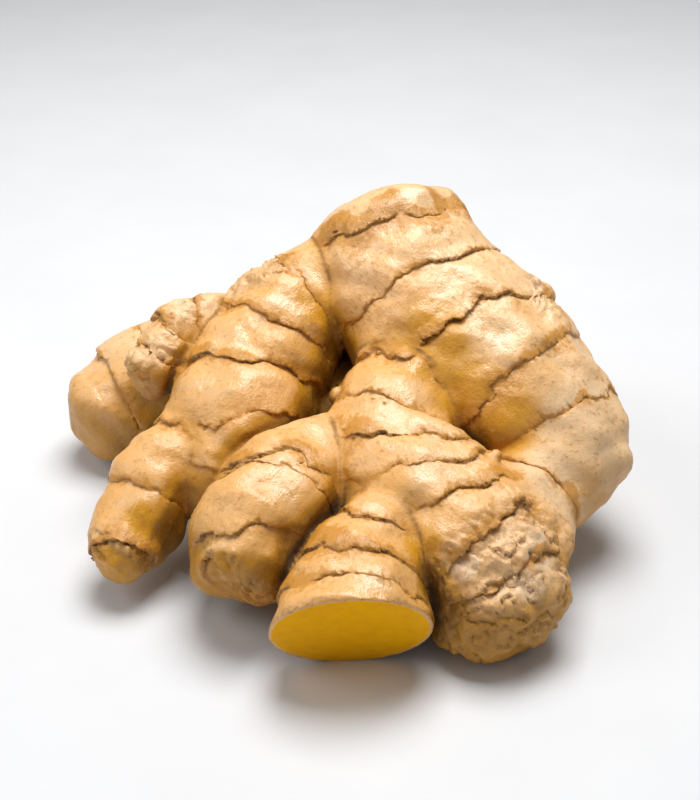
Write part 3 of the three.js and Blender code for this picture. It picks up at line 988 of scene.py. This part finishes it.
def scale_colour(board, look, colour, grain):
    """The skin's colour with the stained rims of its scales, the dried skin and painted shadow in the band
    under them, its joins, and painted shade in its deepest creases.
    """
    near, bold, side, ochre = (board.mark(name) for name in ("near", "bold", "side", "ochre"))
    flake, joint, hollow, shade = (board.mark(name) for name in ("flake", "joint", "hollow", "shade"))
    mottle, specks = grain[:2]
    stain = (ochre + (specks - 0.5) * 0.9 + (mottle - 0.5) * 0.7).rise(0.0, 0.4)
    colour = board.blend(stain * 0.85, colour, opaque(look.stain))
    pits = (ochre + (specks - 0.5) * 2.5).rise(0.6, 1.1)
    colour = board.blend(pits * 0.7, colour, opaque(look.rim_ochre))
    # The band just under a scale's rim: dried grey-brown skin and painted shadow of the rim.
    under = (near + (specks - 0.5) * 0.5 + bold * 0.05).rise(0.86, 1.06) * side.rise(0.0, 0.5)
    under = under * bold.rise(0.7, 1.8)
    colour = board.blend(under * 0.75, colour, opaque(look.dried_skin_and_rim_shadow))
    line = (near + (specks - 0.5) * 0.15).rise(0.91, 0.985) * bold.rise(0.15, 0.9)
    line = line.most((flake + (specks - 0.5) * 0.5).rise(0.45, 0.9))
    ragged_joint = joint + (specks - 0.5) * 0.5
    colour = board.blend(ragged_joint.rise(0.1, 0.6) * 0.7, colour, opaque(look.rim_ochre))
    line = line.most(ragged_joint.rise(0.35, 0.8) * 0.8)
    line_colour = board.blend(bold.rise(0.8, 1.8), opaque(look.brown), opaque(look.rim_brown))
    colour = board.blend(line * 0.8, colour, line_colour)
    # Painted shade, nearly black, deep in the hollows and creases between the branches.
    deep = (hollow * 0.75 + shade * 0.3 + (specks - 0.5) * 0.25).rise(0.65, 1.1)
    return board.blend(deep * 0.9, colour, opaque(look.crease_shade))


def skin_shader(board, look, colour, grain):
    """Thin dry skin with a soft gloss, duller where it is torn or sandy."""
    near, bold, rough, sandy = (board.mark(name) for name in ("near", "bold", "rough", "sandy"))
    mottle, specks, pores, streaks = grain
    gloss = look.roughness + (mottle - 0.5) * 0.7 + near * 0.1 + rough * 0.12 + sandy * 0.2
    gloss = gloss + (1 - board.mark("seam")) * 0.4
    pitted = near.rise(0.2, 1.0) * bold
    relief = specks * (0.5 + 0.6 * pitted + 0.5 * rough) + pores * 0.35 + mottle * 0.3 + streaks * 0.55
    bump = board.add("ShaderNodeBump", None, {"Strength": 0.55, "Distance": 0.45 * MM, "Height": relief})
    return board.add(
        "ShaderNodeBsdfPrincipled", {"subsurface_method": "RANDOM_WALK"},
        {
            "Base Color": colour,
            "Roughness": gloss.most(0.24).least(0.95),
            "Normal": bump,
            "Subsurface Weight": 0.1,
            "Subsurface Radius": (1.0, 0.45, 0.15),
            "Subsurface Scale": 1.2 * MM,
            "Specular IOR Level": 0.62,
        },
    )


def flesh_shader(board, look, place):
    """Moist fibrous flesh."""
    pulp = board.noise(place, 2.5, 4, 0.6)
    fibres = board.add("ShaderNodeBump", None, {"Strength": 0.3, "Distance": 0.2 * MM, "Height": pulp})
    return board.add(
        "ShaderNodeBsdfPrincipled", None,
        {
            "Base Color": board.blend(pulp.rise(0.35, 0.7), opaque(look.flesh), opaque(look.flesh_deep)),
            "Roughness": 0.45,
            "Normal": fibres,
            "Specular IOR Level": 0.06,
        },
    )


def skin_material(look):
    """Thin tan skin with brown scale rims and golden patches, and moist flesh on the cut face."""
    board = Board("ginger_skin")
    place = board.place()
    mottle = board.noise(place, 6.5, 5, 0.6)
    specks = board.noise(place, 1.1, 4, 0.65)
    pores = board.noise(place, 0.45, 2, 0.5)
    flat = {"X": board.mark("run") * 0.16, "Y": board.mark("turn")}
    strip = board.add("ShaderNodeCombineXYZ", None, flat)
    streaks = (board.noise(strip, 1.3 / MM, 4, 0.6) - 0.5) * board.mark("seam") + 0.5
    grain = (mottle, specks, pores, streaks)
    ahead = board.along(place, tuple(plane_normal()), tuple(CUT_FACE * MM))
    on_plane = (ahead / MM).rise(-0.35, -0.2) * board.mark("cut").rise(0.5, 0.9)
    colour = scale_colour(board, look, skin_colour(board, look, place, grain), grain)
    colour = board.blend(on_plane, colour, opaque(look.skin_deep))
    skin = skin_shader(board, look, colour, grain)
    flesh = flesh_shader(board, look, place)
    on_face = on_plane * (board.mark("rind") + (specks - 0.5) * 0.35 + (mottle - 0.5) * 0.3).rise(0.22, 0.38)
    both = board.add("ShaderNodeMixShader", None, {0: on_face, 1: skin, 2: flesh})
    board.add("ShaderNodeOutputMaterial", None, {"Surface": both})
    return board.material


def plain_material(name, colour, roughness, patch):
    """A nearly even finish with a faint cloudiness, for the table."""
    board = Board(name)
    cloudy = board.noise(board.place(), patch, 3)
    paler = tuple(min(1.0, channel * 1.03) for channel in colour)
    tint = board.blend(cloudy.rise(0.3, 0.7), opaque(colour), opaque(paler))
    shader = board.add(
        "ShaderNodeBsdfPrincipled", None,
        {"Base Color": tint, "Roughness": roughness, "Specular IOR Level": 0.3},
    )
    board.add("ShaderNodeOutputMaterial", None, {"Surface": shader})
    return board.material


def colour_property(name, description, default):
    """A colour that the user can change."""
    return bpy.props.FloatVectorProperty(
        name=name, description=description, default=default, size=3, min=0, max=1, subtype="COLOR",
    )


def length_property(name, description, default):
    """A length that the user can change, in metres."""
    return bpy.props.FloatProperty(
        name=name, description=description, default=default, min=0, unit="LENGTH", precision=5,
    )


class GingerShape(bpy.types.PropertyGroup):
    """Sizes of the hand's relief."""

    grid: length_property("Grid", "Distance between the points from which the body is made", 0.0005)
    ledge: length_property("Ledge", "How far a scale rim stands out of the skin", 0.0005)
    groove: length_property("Groove", "How far the skin drops beside a rim", 0.00055)
    barrel: length_property("Swell", "How far a segment swells between two rings", 0.0006)
    wrinkle: length_property("Wrinkle", "Height of the fine wrinkles in the skin", 0.00022)
    triangles: bpy.props.IntProperty(
        name="Triangles", description="Most triangles in the hand", default=195000, min=20000, max=199000,
    )


class GingerLook(bpy.types.PropertyGroup):
    """Colours and gloss of the skin and the flesh."""

    # Blended towards where the skin faces the main lamp: partly the skin's paler tone, partly painted light.
    skin_light: colour_property("Light skin", "Palest skin on top of the lobes", (0.86, 0.55, 0.28))
    skin_deep: colour_property("Deep skin", "Warmer skin between the pale parts", (0.80, 0.43, 0.15))
    # Partly the skin's own golden tone, partly painted shade on sides facing away from the lamp and in
    # hollows.
    golden: colour_property("Golden sides", "Sides and undersides of the lobes", (0.50, 0.225, 0.006))
    golden_patch: colour_property("Thin skin", "Glowing patch of thin skin", (0.62, 0.28, 0.005))
    dry: colour_property("Dry skin", "Matt greyish dry skin", (0.76, 0.54, 0.32))
    scar: colour_property("Scar", "Pale dry tissue where a scale broke off", (0.82, 0.62, 0.42))
    stain: colour_property("Stain", "Golden stain along a scale rim", (0.54, 0.23, 0.022))
    rim_ochre: colour_property("Rim ochre", "Stained skin along a scale rim", (0.38, 0.17, 0.025))
    rim_brown: colour_property("Rim brown", "Dead edge of a scale rim", (0.13, 0.07, 0.03))
    # Partly dried skin, partly painted shadow just under a scale's rim.
    dried_skin_and_rim_shadow: colour_property("Dead skin", "Grey-brown skin under a scale rim", (0.17, 0.105, 0.05))
    # Painted shade deep in the creases between fingers.
    crease_shade: colour_property("Crease", "Skin deep between two fingers", (0.055, 0.022, 0.004))
    # Partly mottled brown skin, partly painted shade on the sides facing away from the lamp and in hollows.
    brown: colour_property("Brown skin", "Mottled skin low on the sides", (0.20, 0.085, 0.008))
    flesh: colour_property("Flesh", "Moist flesh on the cut face", (0.90, 0.44, 0.0))
    flesh_deep: colour_property("Deep flesh", "Darker flesh on the cut face", (0.84, 0.38, 0.0))
    roughness: bpy.props.FloatProperty(
        name="Roughness", description="Roughness of the skin",
        default=0.32, min=0.05, max=1, subtype="FACTOR",
    )


class GingerStage(bpy.types.PropertyGroup):
    """The table, the light and the camera."""

    floor: colour_property("Floor", "Colour of the table", (0.68, 0.685, 0.695))
    backdrop: colour_property("Backdrop", "Colour of the surroundings", (0.88, 0.89, 0.90))
    surround: bpy.props.FloatProperty(
        name="Surround", description="Brightness of the pale surroundings", default=0.26, min=0, max=5,
    )
    key_power: bpy.props.FloatProperty(
        name="Main light", description="Power of the large light overhead", default=4.5, min=0, unit="POWER",
    )
    fill_power: bpy.props.FloatProperty(
        name="Side light", description="Power of the light at the left", default=1.3, min=0, unit="POWER",
    )
    distance: length_property("Camera distance", "From the camera to the hand", 0.29)
    elevation: bpy.props.FloatProperty(
        name="Camera height", description="How steeply the camera looks down",
        default=math.radians(30), min=0, max=math.radians(89), subtype="ANGLE",
    )
    lens: bpy.props.FloatProperty(
        name="Lens", description="Focal length for a 36 mm sensor", default=63, min=10, max=300,
    )


class GINGER_OT_rhizome(bpy.types.Operator):
    """Grow the hand of ginger and give it its skin and flesh"""

    bl_idname = "ginger.rhizome"
    bl_label = "Hand of ginger"

    def execute(self, context):
        shape = context.scene.ginger_shape
        branches = [Branch(number, row) for number, row in enumerate(BRANCHES)]
        stubs = root_stubs(branches)
        coarse = Coarse(branches, stubs, COARSE_STEP)
        step = shape.grid / MM * 1.0
        points, triangles = rough_body(branches, stubs, coarse, step)
        points, marks = dress_body(branches, coarse, points, triangles, shape)
        piece = mesh_piece("ginger_hand", points, triangles, marks)
        thin_out(piece, shape.triangles, (marks["cut"] > 0) & (cut_height(points) > -CUT_RIM))
        piece.data.materials.append(skin_material(context.scene.ginger_look))
        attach(piece, BODY)
        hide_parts(NODE)
        return {"FINISHED"}


def sweep_floor():
    """The table and the wall behind it in one sheet, joined by a wide bend."""
    half, front, bend, back, top = 2.5, -2.0, 0.9, 1.6, 3.0
    outline = [(front, 0.0), (back - bend, 0.0)]
    for k in range(1, BEND_STEPS + 1):
        turn = math.pi / 2 * k / BEND_STEPS
        outline.append((back - bend + bend * math.sin(turn), bend - bend * math.cos(turn)))
    outline.append((back, top))
    corners = [(x, y, z) for y, z in outline for x in (-half, half)]
    faces = [(2 * i, 2 * i + 1, 2 * i + 3, 2 * i + 2) for i in range(len(outline) - 1)]
    mesh = bpy.data.meshes.new("table_sweep")
    mesh.from_pydata(corners, [], faces)
    mesh.polygons.foreach_set("use_smooth", np.ones(len(faces), bool))
    floor = bpy.data.objects.new("table_sweep", mesh)
    bpy.context.scene.collection.objects.link(floor)
    return floor


def soft_light(name, place, target, size, power):
    """A large square light that looks at the target."""
    lamp = bpy.data.lights.new(name, "AREA")
    lamp.shape = "SQUARE"
    lamp.size = size
    lamp.energy = power
    light = bpy.data.objects.new(name, lamp)
    light.location = place
    light.rotation_euler = (Vector(target) - Vector(place)).to_track_quat("-Z", "Y").to_euler()
    bpy.context.scene.collection.objects.link(light)


class GINGER_OT_stage(bpy.types.Operator):
    """Lay the pale table, hang the lights and set the camera"""

    bl_idname = "ginger.stage"
    bl_label = "Table, light and camera"

    def execute(self, context):
        stage = context.scene.ginger_stage
        floor = sweep_floor()
        floor.data.materials.append(plain_material("pale_table", tuple(stage.floor), 0.6, 40))
        target = Vector(TARGET)
        soft_light("overhead_softbox", OVERHEAD_PLACE, target, OVERHEAD_SIZE, stage.key_power)
        soft_light("left_softbox", LEFT_PLACE, target, LEFT_SIZE, stage.fill_power)
        world = bpy.data.worlds.new("pale_studio")
        world.use_nodes = True
        sky = world.node_tree.nodes["Background"]
        sky.inputs["Color"].default_value = opaque(stage.backdrop)
        sky.inputs["Strength"].default_value = stage.surround
        context.scene.world = world
        data = bpy.data.cameras.new("photo_camera")
        data.lens = stage.lens
        data.sensor_width = 36
        data.clip_start = 0.01
        camera = bpy.data.objects.new("photo_camera", data)
        lean = stage.elevation
        camera.location = target + stage.distance * Vector((0, -math.cos(lean), math.sin(lean)))
        camera.rotation_euler = (math.pi / 2 - lean, 0, 0)
        context.scene.collection.objects.link(camera)
        context.scene.camera = camera
        context.scene.view_settings.view_transform = "Standard"
        return {"FINISHED"}


class GINGER_PT_sidebar(bpy.types.Panel):
    """The ginger's pieces, sizes and colours"""

    bl_idname = "GINGER_PT_sidebar"
    bl_label = "Ginger"
    bl_space_type = "VIEW_3D"
    bl_region_type = "UI"
    bl_category = "Ginger"

    def draw(self, context):
        groups = (
            (context.scene.ginger_shape, GingerShape, GINGER_OT_rhizome),
            (context.scene.ginger_look, GingerLook, None),
            (context.scene.ginger_stage, GingerStage, GINGER_OT_stage),
        )
        for settings, group, operator in groups:
            box = self.layout.box()
            for name in group.__annotations__:
                box.prop(settings, name)
            if operator:
                box.operator(operator.bl_idname)


CLASSES = (GingerShape, GingerLook, GingerStage, GINGER_OT_rhizome, GINGER_OT_stage, GINGER_PT_sidebar)


def register():
    """Makes the operators, their settings and the panel known to Blender."""
    for one in CLASSES:
        bpy.utils.register_class(one)
    bpy.types.Scene.ginger_shape = bpy.props.PointerProperty(type=GingerShape)
    bpy.types.Scene.ginger_look = bpy.props.PointerProperty(type=GingerLook)
    bpy.types.Scene.ginger_stage = bpy.props.PointerProperty(type=GingerStage)


def unregister():
    """Takes them away again."""
    del bpy.types.Scene.ginger_stage
    del bpy.types.Scene.ginger_look
    del bpy.types.Scene.ginger_shape
    for one in reversed(CLASSES):
        bpy.utils.unregister_class(one)


def main():
    """Builds the whole scene."""
    register()
    bpy.ops.ginger.rhizome()
    bpy.ops.ginger.stage()


if __name__ == "__main__":
    main()
